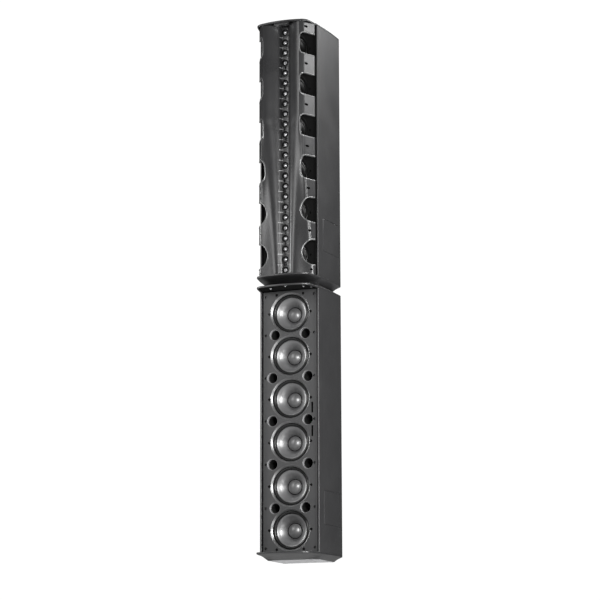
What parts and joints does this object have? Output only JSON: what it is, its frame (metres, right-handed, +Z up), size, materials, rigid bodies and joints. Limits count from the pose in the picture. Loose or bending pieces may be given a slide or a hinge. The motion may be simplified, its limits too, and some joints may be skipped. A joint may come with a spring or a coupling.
{
  "type": "column pa system",
  "caption": "Stacked column loudspeaker: a port-loaded woofer cabinet below and a waveguide cabinet with a tweeter line above, grilles off.",
  "frame": {"origin": "centre of the bounding box at the bottom face of the lower cabinet", "axes": "+Z up along the column, -Y towards the front, +X to the viewer's right when facing the front"},
  "size_m": [0.267, 0.306, 2.064],
  "materials": {
    "cabinet_skin": "fine texture, matt",
    "cap_moulding": "fine texture, satin",
    "end_plate": "brushed, anodised",
    "baffle_paint": "fine texture, matt",
    "port_plastic": "smooth, matt",
    "basket_paint": "satin black",
    "magnet_steel": "plated, dull",
    "spider_cloth": "woven, resin treated",
    "surround_rubber": "smooth, matt",
    "cone_coating": "coated, semi-gloss",
    "dust_cap_coating": "coated, semi-gloss",
    "coil_copper": "enamelled wire",
    "screw_black": "black oxide",
    "screw_zinc": "zinc plated",
    "board_laminate": "satin laminate",
    "wadding_fibre": "lofted fibre",
    "input_plate_paint": "fine texture, matt",
    "terminal_plastic": "moulded",
    "control_plastic": "moulded, matt",
    "insert_brass": "turned",
    "waveguide_plastic": "smooth, satin",
    "tweeter_bar_paint": "satin black",
    "tweeter_ring_plastic": "moulded, satin",
    "tweeter_dome": "drawn, satin"
  },
  "bodies": {
    "cabinets": {"lf_side_left": "cabinet_skin", "lf_side_right": "cabinet_skin", "lf_back_panel": "cabinet_skin", "lf_top_cap": "cap_moulding", "lf_bottom_cap": "cap_moulding", "lf_end_plates": "end_plate", "lf_baffle": "baffle_paint", "lf_port_tubes": "port_plastic", "lf_baskets": "basket_paint", "lf_magnets": "magnet_steel", "lf_spiders": "spider_cloth", "lf_surrounds": "surround_rubber", "lf_woofer_screws": "screw_black", "lf_baffle_screws": "screw_zinc", "lf_crossover_board": "board_laminate", "lf_wadding": "wadding_fibre", "lf_input_plate": "input_plate_paint", "lf_terminal_block": "terminal_plastic", "lf_side_covers": "cabinet_skin", "lf_plate_screws": "screw_zinc", "lf_wall_inserts": "insert_brass", "hf_side_left": "cabinet_skin", "hf_side_right": "cabinet_skin", "hf_back_panel": "cabinet_skin", "hf_top_cap": "cap_moulding", "hf_bottom_cap": "cap_moulding", "hf_end_plates": "end_plate", "hf_baffle": "baffle_paint", "hf_waveguide": "waveguide_plastic", "hf_tweeter_bar": "tweeter_bar_paint", "hf_tweeter_rings": "tweeter_ring_plastic", "hf_tweeter_domes": "tweeter_dome", "hf_tweeter_motors": "magnet_steel", "hf_baskets": "basket_paint", "hf_magnets": "magnet_steel", "hf_spiders": "spider_cloth", "hf_surrounds": "surround_rubber", "hf_woofer_screws": "screw_black", "hf_waveguide_screws": "screw_black", "hf_crossover_board": "board_laminate", "hf_wadding": "wadding_fibre", "hf_input_plate": "input_plate_paint", "hf_terminal_block": "terminal_plastic", "hf_side_covers": "cabinet_skin", "hf_plate_screws": "screw_zinc", "hf_wall_inserts": "insert_brass", "joining_studs": "screw_zinc"},
    "lf_cone_set": {"lf_cones": "cone_coating", "lf_dust_caps": "dust_cap_coating", "lf_voice_coils": "coil_copper"},
    "hf_cone_set": {"hf_cones": "cone_coating", "hf_dust_caps": "dust_cap_coating", "hf_voice_coils": "coil_copper"},
    "lf_tap_selector": {"lf_tap_knob": "control_plastic"},
    "hf_tap_selector": {"hf_tap_knob": "control_plastic"},
    "lf_voicing_button": {"lf_voicing_switch": "control_plastic"},
    "hf_coverage_button": {"hf_coverage_switch": "control_plastic"}
  },
  "joints": [
    {"name": "lf_cone_stroke", "type": "slide", "parent": "cabinets", "child": "lf_cone_set", "axis": [0, -1, 0], "range_m": [-0.004, 0.004], "stiffness_N_per_m": 4000},
    {"name": "lf_tap_turn", "type": "hinge", "parent": "cabinets", "child": "lf_tap_selector", "pos_m": [-0.028, 0.13, 0.3735], "axis": [0, 1, 0], "range_deg": [-75, 75]},
    {"name": "lf_voicing_slide", "type": "slide", "parent": "cabinets", "child": "lf_voicing_button", "axis": [1, 0, 0], "range_m": [-0.003, 0.003]},
    {"name": "hf_cone_stroke", "type": "slide", "parent": "cabinets", "child": "hf_cone_set", "axis": [0, -1, 0], "range_m": [-0.004, 0.004], "stiffness_N_per_m": 4000},
    {"name": "hf_tap_turn", "type": "hinge", "parent": "cabinets", "child": "hf_tap_selector", "pos_m": [-0.028, 0.13, 1.4055], "axis": [0, 1, 0], "range_deg": [-75, 75]},
    {"name": "hf_coverage_slide", "type": "slide", "parent": "cabinets", "child": "hf_coverage_button", "axis": [1, 0, 0], "range_m": [-0.003, 0.003]}
  ]
}
